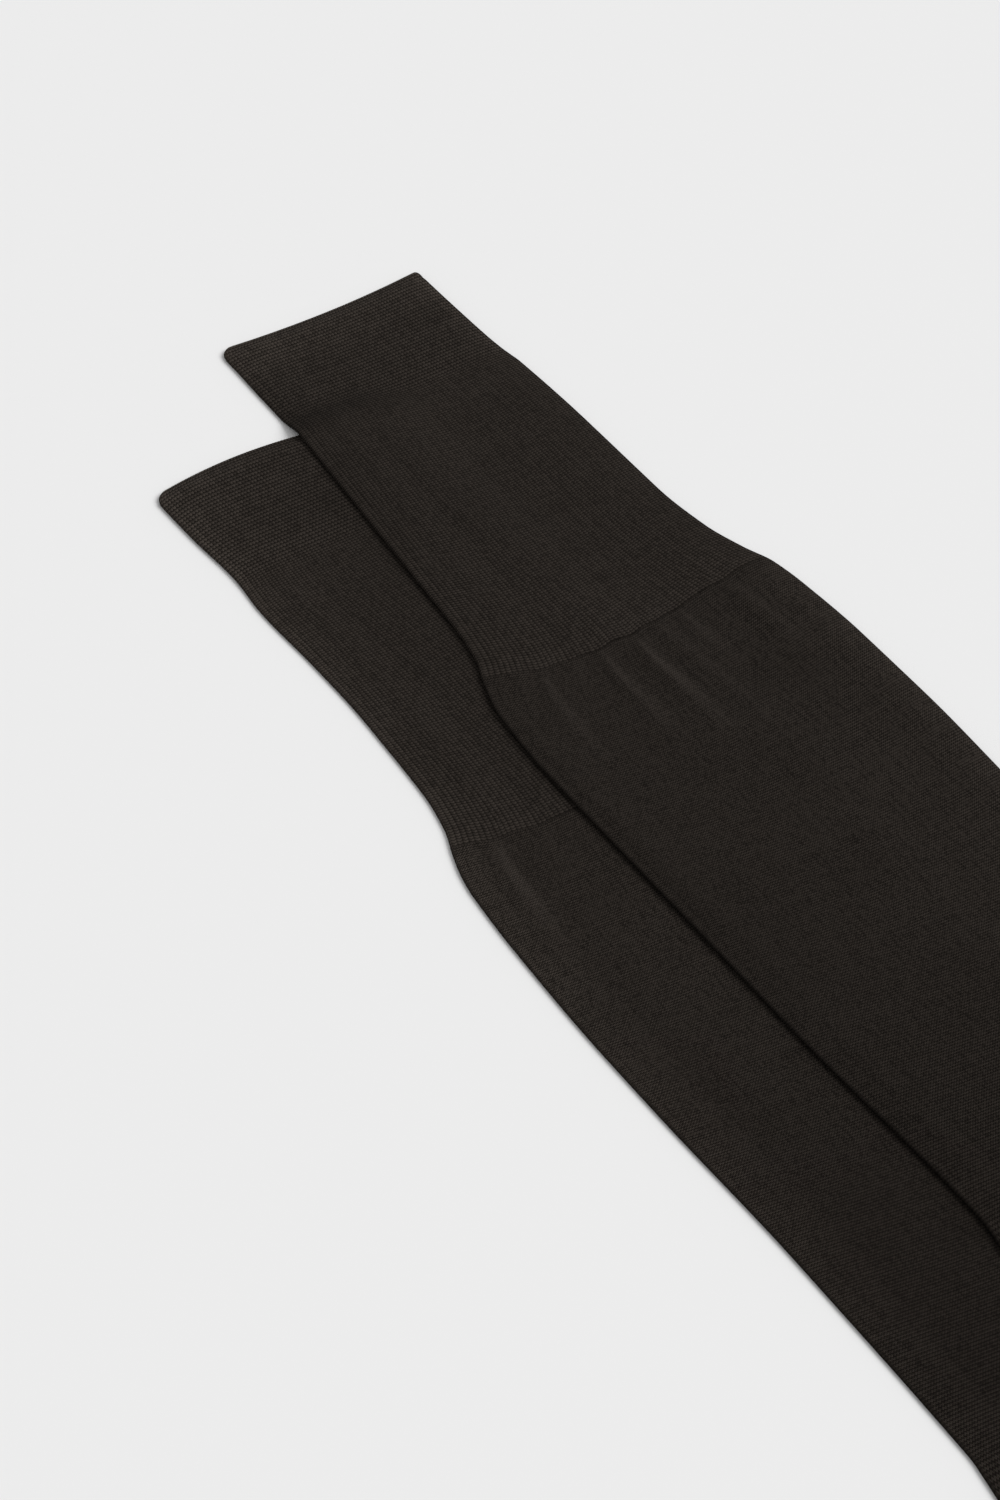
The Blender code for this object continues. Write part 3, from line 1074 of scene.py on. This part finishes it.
print("ribbed knit:", len(ribbed.tree.nodes), "nodes")

# %% [markdown]
# ## Put each piece on the frame
#
# Each piece takes its finish, rides on the one body and hides its plain solid, which it stands for.
# The flat size the cloth was knitted to, all round the tube, is worked out and printed.


# %% Frame calls
def flat_size(sock, start, end):
    """Greatest width all round, length and flat area of a stretch of the tube, in metres."""
    girths = []
    for along in range(int(start), int(end)):
        ring = sock.ring(along + 0.5)
        girths.append(2 * (ring.back + ring.front) + (2 * math.pi - 4) * ring.radius)
    return max(girths) * MM, (end - start) * MM, sum(girths) * MM * MM


for side, sock in (("lower", lower), ("upper", upper)):
    resting_on = [] if side == "lower" else [piece.name for piece in pieces["lower"]]
    for piece, finish, start, end in zip(
        pieces[side], (ribbed, plain), (0.0, RIB_END), (RIB_END, TOE_END)
    ):
        piece.data.materials.append(finish.material)
        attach(piece, "root")
        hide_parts(f"sock_{side}")
        width, length, area = flat_size(sock, start, end)
        print(f"{piece.name}: knitted {width:.3f} m all round by {length:.3f} m, {area:.4f} m2")

# %% [markdown]
# ## Floor, light and camera
#
# The socks lie on a plain pale surface in soft light, most of it from all round and the rest
# from the shin side and a little from the feet, low enough to draw each ridge. A sun lamp with a
# wide angle gives that without a hot spot. The camera looks down at the tops from beside the feet,
# and leaves the feet out.

# %% Studio
FLOOR_HALF = 40.0
FLOOR_GREY = (0.83, 0.83, 0.83, 1.0)
SKY_GREY = (1.0, 1.0, 1.0, 1.0)
SKY_STRENGTH = 0.51
SUN_STRENGTH = 2.35
SUN_ANGLE = 35.0
SUN_ELEVATION = 42.0
SUN_FROM = -35.0

bm = bmesh.new()
bmesh.ops.create_grid(bm, x_segments=1, y_segments=1, size=FLOOR_HALF)
floor_mesh = bpy.data.meshes.new("floor")
bm.to_mesh(floor_mesh)
bm.free()
floor = bpy.data.objects.new("floor", floor_mesh)
bpy.context.scene.collection.objects.link(floor)
floor_finish = Finish("pale_floor")
floor_finish.fill(floor_finish.shader, {"Base Color": FLOOR_GREY, "Roughness": 0.9})
floor_mesh.materials.append(floor_finish.material)

sun_data = bpy.data.lights.new("soft_key", "SUN")
sun_data.energy = SUN_STRENGTH
sun_data.angle = math.radians(SUN_ANGLE)
sun = bpy.data.objects.new("soft_key", sun_data)
bpy.context.scene.collection.objects.link(sun)
rise, side_way = math.radians(SUN_ELEVATION), math.radians(SUN_FROM)
towards_sun = Vector(
    (math.cos(rise) * math.cos(side_way), math.cos(rise) * math.sin(side_way), math.sin(rise))
)
sun.rotation_euler = towards_sun.to_track_quat("Z", "Y").to_euler()

world = bpy.data.worlds.new("studio")
world.use_nodes = True
background = world.node_tree.nodes["Background"]
background.inputs["Color"].default_value = SKY_GREY
background.inputs["Strength"].default_value = SKY_STRENGTH
bpy.context.scene.world = world
bpy.context.scene.view_settings.view_transform = "Standard"
print("floor, key light and sky made")

# %% The camera
CAMERA_ELEVATION = 45.75
CAMERA_AZIMUTH = -33.0
CAMERA_DISTANCE = 750.5
CAMERA_LENS = 72.0
AIM_FROM_UPPER_CUFF = (-52.8, -174.5)

rise, around = math.radians(CAMERA_ELEVATION), math.radians(CAMERA_AZIMUTH)
looking = Vector(
    (-math.sin(around) * math.cos(rise), math.cos(around) * math.cos(rise), -math.sin(rise))
)
aim = Vector(
    (UPPER_CUFF[0] + AIM_FROM_UPPER_CUFF[0], UPPER_CUFF[1] + AIM_FROM_UPPER_CUFF[1], 0.0)
)
camera_data = bpy.data.cameras.new("camera")
camera_data.lens = CAMERA_LENS
camera_data.clip_start = 0.01
camera = bpy.data.objects.new("camera", camera_data)
camera.location = (aim - looking * CAMERA_DISTANCE) * MM
camera.rotation_euler = looking.to_track_quat("-Z", "Y").to_euler()
bpy.context.scene.collection.objects.link(camera)
bpy.context.scene.camera = camera
print("camera", [round(value, 3) for value in camera.location], "m")
